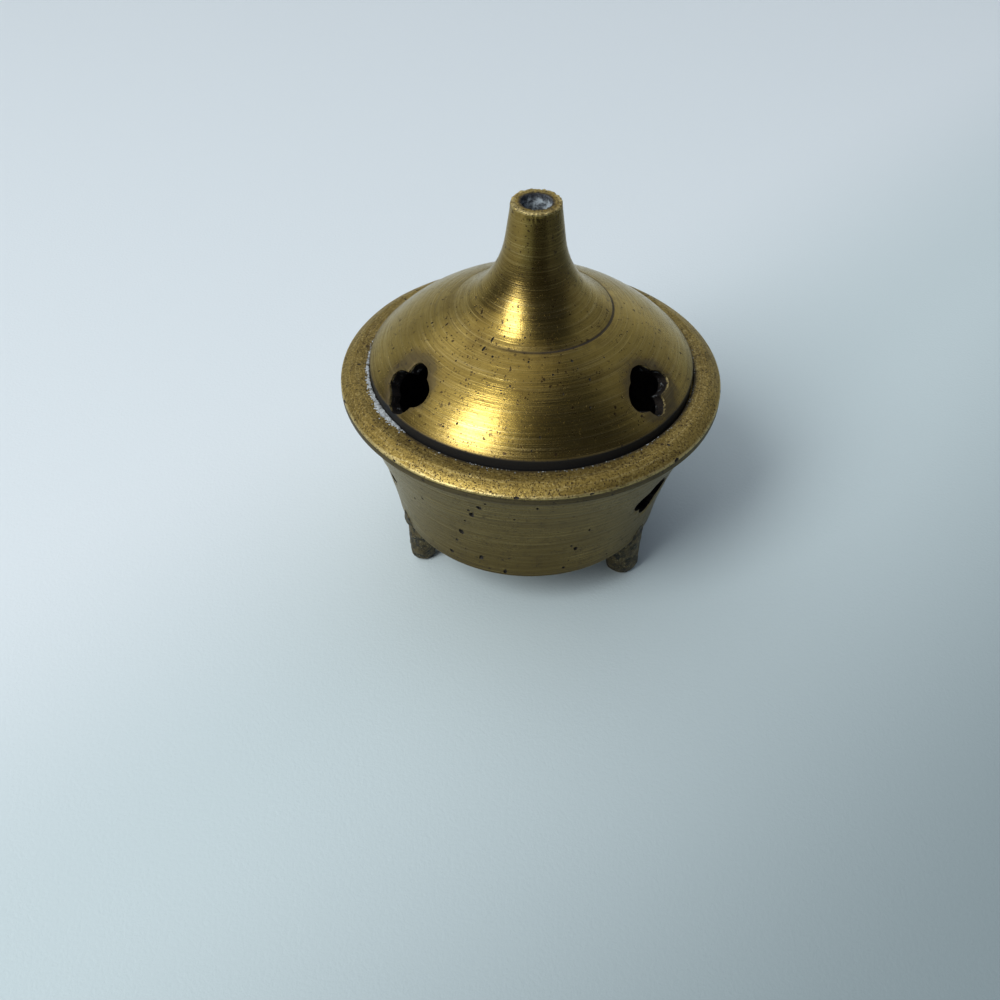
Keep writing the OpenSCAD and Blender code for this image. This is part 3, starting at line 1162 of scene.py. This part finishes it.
def bowl_marks(_look, _place, radius, z, mottle):
    """Tarnish, grime, painted shade, fine pits, wear and a painted highlight on the bowl.

    It is dark in the seam with painted shade over grime where ash collects, on the wall, which is
    tarnished, and on the rim's upright edge with a painted dark reflection; a painted highlight runs along
    the rim's corner."""
    edge_top = LEDGE - ROUND_DROP
    edge_foot = edge_top - EDGE_H
    top = z.between(LEDGE - 0.6, LEDGE - 0.3)
    # Painted shade in the seam beside the lid, on top of real grime where ash collects.
    seam = radius.between(SEAT_R + 0.8, SEAT_R + 0.05) * top
    # Painted dark reflection: the rim's upright edge is darkened where it faces dark surroundings.
    upright = z.between(edge_top - 0.15, edge_top - 0.4) * z.between(edge_foot - 0.5, edge_foot - 0.2)
    upright = upright * radius.between(RIM_R - 0.5, RIM_R - 0.2)
    wall = z.between(edge_foot + 0.2, edge_foot - 0.4)
    under = z.between(LEDGE - 6.0, LEDGE - 3.0) * wall * 0.25
    foot = z.between(UNDERSIDE + 1.6, UNDERSIDE + 0.2) * 0.4
    flat = radius.between(LEDGE_R + 0.5, LEDGE_R - 0.5) * top
    tarnish_and_painted_shade = wall * 0.88 + upright * 0.55 + under + foot + flat * 0.25
    tarnish_and_painted_shade = (tarnish_and_painted_shade + mottle.between(0.52, 0.75) * 0.2).clip()
    dirt_and_painted_shade = (seam * 0.75 + upright * 0.6).clip()
    rim = z.between(LEDGE - 2.2, LEDGE - 1.4)
    peppered = rim * 0.80 + 0.12
    # Painted highlight: a thin bright line along the rim's sharp corner.
    polish_and_painted_highlight = z.between(edge_top - 0.30, edge_top - 0.12) * z.between(edge_top + 0.30, edge_top + 0.08)
    polish_and_painted_highlight = polish_and_painted_highlight * radius.between(RIM_R - 0.8, RIM_R - 0.4)
    polish_and_painted_highlight = polish_and_painted_highlight * (mottle.between(0.36, 0.54) * 0.55 + 0.3)
    return tarnish_and_painted_shade, dirt_and_painted_shade, peppered, rim, polish_and_painted_highlight


def sooty_brass():
    """The inside, brown-black with smoke."""
    look, place, _ = new_look("sooty_inside")
    patch = look.noise(place, 0.35, 5.0, 0.65)
    grit = look.noise(place, 3.5, 4.0, 0.7)
    tint = look.mix(patch.between(0.35, 0.7), colour(0.012, 0.011, 0.020), colour(0.050, 0.036, 0.028))
    relief = look.bump(grit + patch * 0.5, 0.08)
    return look.surface(tint, 0.35, (0.55 + grit * 0.3).clip(), relief)


def filed_wall():
    """The openings' cut walls: dark and gritty, with a pale crust here and there and a bright lip."""
    look, place, (x, y, z) = new_look("filed_walls")
    centre, dome_radius = arc_circle(SHOULDER, (LID_R, LID_EDGE_H), DOME_BULGE)
    across = (x * x + y * y) ** 0.5 - centre[0]
    up = z - (LEDGE + centre[1])
    depth = dome_radius - (across * across + up * up) ** 0.5
    crust = look.noise(place, 1.1, 5.0, 0.72)
    grit = look.noise(place, 5.0, 4.0, 0.7)
    pale = crust.between(0.57, 0.67)
    lip = depth.between(0.62, 0.34) * z.between(LEDGE, LEDGE + 0.5) * crust.between(0.40, 0.52)
    tint = look.mix(grit.between(0.4, 0.65), colour(0.012, 0.012, 0.015), colour(0.050, 0.038, 0.026))
    tint = look.mix(pale * 0.8, tint, colour(0.26, 0.28, 0.28))
    tint = look.mix(lip * 0.9, tint, BRASS_BRIGHT)
    relief = look.bump(grit + pale * 0.8, 0.12)
    return look.surface(tint, (0.9 - pale * 0.9).clip(), (0.62 - lip * 0.25).clip(), relief)


def bore_ash():
    """Grey-white ash baked on the smoke hole's wall."""
    look, place, (_, _, z) = new_look("bore_ash")
    patch = look.noise(place, 0.8, 5.0, 0.7)
    grit = look.noise(place, 4.0, 4.0, 0.7)
    top = z.between(MOUTH - 1.1, MOUTH - 0.4)
    dark = (grit.between(0.52, 0.68) * 0.7 + top * 0.85).clip()
    tint = look.mix(patch.between(0.42, 0.62), colour(0.08, 0.09, 0.10), colour(0.56, 0.62, 0.65))
    tint = look.mix(dark, tint, colour(0.04, 0.04, 0.045))
    return look.surface(tint, 0.0, 0.9, look.bump(grit + patch, 0.15))


def pit_dark():
    """Black-brown grime in the pits."""
    look, place, _ = new_look("pit_dirt")
    grit = look.noise(place, 6.0, 3.0, 0.7)
    tint = look.mix(grit.between(0.35, 0.7), colour(0.008, 0.007, 0.007), colour(0.035, 0.026, 0.016))
    return look.surface(tint, 0.2, 0.7, look.bump(grit, 0.05))


def cast_brass():
    """Rough-cast feet: dark in the hollows of the skin, bright on its grains."""
    look, place, (_, _, z) = new_look("rough_cast_brass")
    lumps = look.noise(place, 0.9, 4.0, 0.65)
    grains = look.noise(place, 3.2, 4.0, 0.75)
    _, shade = look.cells(place, 2.2)
    bright = grains.between(0.56, 0.68) * shade.between(0.3, 0.6)
    joint = z.between(UNDERSIDE + 2.2, UNDERSIDE + 3.2) * grains.between(0.42, 0.55)
    tint = look.mix(lumps.between(0.35, 0.65), colour(0.030, 0.030, 0.026), colour(0.15, 0.115, 0.055))
    tint = look.mix(bright, tint, colour(0.55, 0.47, 0.27))
    tint = look.mix(joint, tint, TARNISH_AND_SHADE_DARK)
    relief = look.bump(lumps * 0.8 + grains, 0.22)
    return look.surface(tint, 0.85, (0.42 + grains * 0.25).clip(), relief)


def seam_ash_finish():
    """Pale grey ash with darker grit."""
    look, place, _ = new_look("seam_ash")
    patch = look.noise(place, 1.6, 4.0, 0.65)
    grit = look.noise(place, 7.0, 3.0, 0.7)
    tint = look.mix(patch.between(0.34, 0.60), colour(0.17, 0.17, 0.16), colour(0.50, 0.53, 0.53))
    tint = look.mix(grit.between(0.52, 0.66) * 0.7, tint, colour(0.10, 0.09, 0.07))
    return look.surface(tint, 0.0, 0.92, look.bump(grit, 0.08))


# ---------------------------------------------------------------- floor, light and camera

# The first of these colours is a painted shadow: the floor's dim patch at the front right.
FLOOR_PAINTED_SHADOW = colour(0.26, 0.315, 0.32)
FLOOR_MIDDLE = colour(0.60, 0.685, 0.68)
FLOOR_FAR = colour(0.77, 0.82, 0.82)
FLOOR_LINES = (-4000, -1200, -500, -200, 0, 200, 500, 1200, 4000)


def floor_finish():
    """A pale floor with painted light falloff: lighter towards the back left, with a soft dim patch of
    painted shadow at the front right.
    """
    look, place, (x, y, _) = new_look("pale_floor")
    # Painted shade: the floor darkens into a painted shadow at the front right and is painted lighter
    # towards the back.
    across = y * 0.7 - x * 0.71
    tint = look.mix(across.between(-114, -12), FLOOR_PAINTED_SHADOW, FLOOR_MIDDLE)
    tint = look.mix(across.between(-16, 60), tint, FLOOR_FAR)
    tint = look.mix(across.between(-140, -460), tint, FLOOR_MIDDLE)
    relief = look.bump(look.noise(place, 1.6, 3.0, 0.6), 0.06)
    return look.surface(tint, 0.0, 0.55, relief, {"Specular IOR Level": 0.25})


def make_floor():
    """A wide, flat floor."""
    verts = [(x, y, 0.0) for y in FLOOR_LINES for x in FLOOR_LINES]
    faces = sheet_faces(len(FLOOR_LINES), len(FLOOR_LINES))
    add_object("floor", verts, faces, [floor_finish()])


# The card: angles of its two ends from the front, distance from the axis, lowest and highest edge
CARD_TURNS = (-9.0, 45.0)
CARD_DISTANCE = 150.0
CARD_HEIGHTS = (2.0, 120.0)
CARD_POINTS = 15


def dark_card_finish():
    """Black felt."""
    look, place, _ = new_look("dark_felt")
    tint = look.mix(look.noise(place, 0.5, 3.0), colour(0.006, 0.008, 0.022), colour(0.010, 0.012, 0.030))
    return look.surface(tint, 0.0, 1.0, more={"Specular IOR Level": 0.0})


def make_dark_card():
    """A curved dark card in front of the burner, which shows only in the metal's reflections."""
    turns = np.linspace(*CARD_TURNS, CARD_POINTS)
    verts = [place_at(turn, CARD_DISTANCE, z) for z in CARD_HEIGHTS for turn in turns]
    faces = sheet_faces(len(CARD_HEIGHTS), len(turns))
    card = add_object("dark_card", verts, faces, [dark_card_finish()])
    card.visible_camera = False
    card.visible_diffuse = False
    card.visible_shadow = False
    card.visible_transmission = False


def toward(azimuth, elevation):
    """The unit vector from the burner towards a place in the room."""
    a, e = math.radians(azimuth), math.radians(elevation)
    return Vector((math.sin(a) * math.cos(e), -math.cos(a) * math.cos(e), math.sin(e)))


# Soft panels of room light: azimuth, elevation, half width where full, half width where gone, light
ROOM_PANELS = (
    (-46, 42, 12, 34, (0.90, 0.95, 1.00)),
    (-105, 62, 16, 46, (0.80, 0.82, 0.84)),
    (-165, 18, 26, 60, (0.42, 0.46, 0.50)),
    (132, 28, 20, 56, (0.28, 0.31, 0.35)),
)
ROOM_DARK = (0.020, 0.026, 0.055)
HORIZON = (0.13, 0.145, 0.155)


def make_world():
    """Soft room light: pale overhead, to the left and behind, dim in front and to the right."""
    world = bpy.data.worlds.new("room")
    bpy.context.scene.world = world
    look = Look(world)
    way = look.node("ShaderNodeTexCoord", None, None, "Generated")
    light = ROOM_DARK
    for azimuth, elevation, full, gone, tint in ROOM_PANELS:
        facing = look.vector("DOT_PRODUCT", way, tuple(toward(azimuth, elevation)), "Value")
        share = facing.between(math.cos(math.radians(gone)), math.cos(math.radians(full)))
        light = look.vector("ADD", light, look.scale(tint, share))
    low = look.split(way)[2].between(0.30, 0.06)
    light = look.vector("ADD", light, look.scale(HORIZON, low))
    look.end(look.node("ShaderNodeBackground", None, {0: light, 1: 1.0}), "ShaderNodeOutputWorld")


def area_light(name, azimuth, elevation, distance, size, power, tint):
    """A soft oval light that faces the burner. Its distance and its size are in metres."""
    lamp = bpy.data.lights.new(name, "AREA")
    lamp.shape = "ELLIPSE"
    lamp.size, lamp.size_y = size
    lamp.energy = power
    lamp.color = tint
    way = toward(azimuth, elevation)
    holder = bpy.data.objects.new(name, lamp)
    middle = (CAD_BOX[0] + CAD_BOX[1]) / 2
    holder.location = middle + way * distance
    holder.rotation_mode = "QUATERNION"
    holder.rotation_quaternion = way.to_track_quat("Z", "Y")
    bpy.context.scene.collection.objects.link(holder)


def make_lights():
    """A tall window at the left."""
    area_light("window_light", azimuth=-44, elevation=43, distance=1.0, size=(0.40, 0.72), power=6.4,
               tint=(0.93, 0.97, 1.0))


# The camera: its place, its turn to the right, its tilt down and its roll, its lens and sensor,
# and in metres the nearest and farthest that it sees
CAMERA_PLACE = (0.0, -156.66, 153.67)
CAMERA_TURNS = (-1.783, 43.5, 0.811)
LENS = 41.4
SENSOR_WIDTH = 36.0
CAMERA_REACH = (0.005, 20.0)


def make_camera():
    """The camera, in front of the burner and above it."""
    yaw, pitch, roll = (math.radians(a) for a in CAMERA_TURNS)
    ahead = Vector((math.sin(yaw) * math.cos(pitch), math.cos(yaw) * math.cos(pitch), -math.sin(pitch)))
    right = Vector((math.cos(yaw), -math.sin(yaw), 0.0))
    up = right.cross(ahead)
    rolled_right = right * math.cos(roll) + up * math.sin(roll)
    rolled_up = up * math.cos(roll) - right * math.sin(roll)
    data = bpy.data.cameras.new("camera")
    data.sensor_width = SENSOR_WIDTH
    data.lens = LENS
    data.clip_start, data.clip_end = CAMERA_REACH
    camera = bpy.data.objects.new("camera", data)
    turn = Matrix((rolled_right, rolled_up, -ahead)).transposed().to_4x4()
    camera.matrix_world = Matrix.Translation(Vector(CAMERA_PLACE) * MM) @ turn
    bpy.context.scene.collection.objects.link(camera)
    bpy.context.scene.camera = camera


def set_view():
    """Colours as they are, with no tone curve."""
    scene = bpy.context.scene
    scene.view_settings.view_transform = "Standard"


# ---------------------------------------------------------------- the whole burner

def make_burner():
    """The lid, the bowl, its feet, and the ash between the bowl and the lid."""
    inner = [sooty_brass(), filed_wall(), bore_ash(), pit_dark()]
    make_lid([turned_brass("lid_turned_brass", slope=-1.0, marks=lid_marks), *inner])
    make_bowl([turned_brass("bowl_turned_brass", slope=1.0, marks=bowl_marks), *inner])
    casting = cast_brass()
    for k, (name, turn) in enumerate(FOOT_TURNS.items()):
        make_foot(name, turn, FOOT_STOUTNESS[name], seed=10 + 5 * k, finish=casting)
    make_seam_ash(seam_ash_finish())


set_view()
make_camera()
make_world()
make_lights()
make_floor()
make_dark_card()
make_burner()
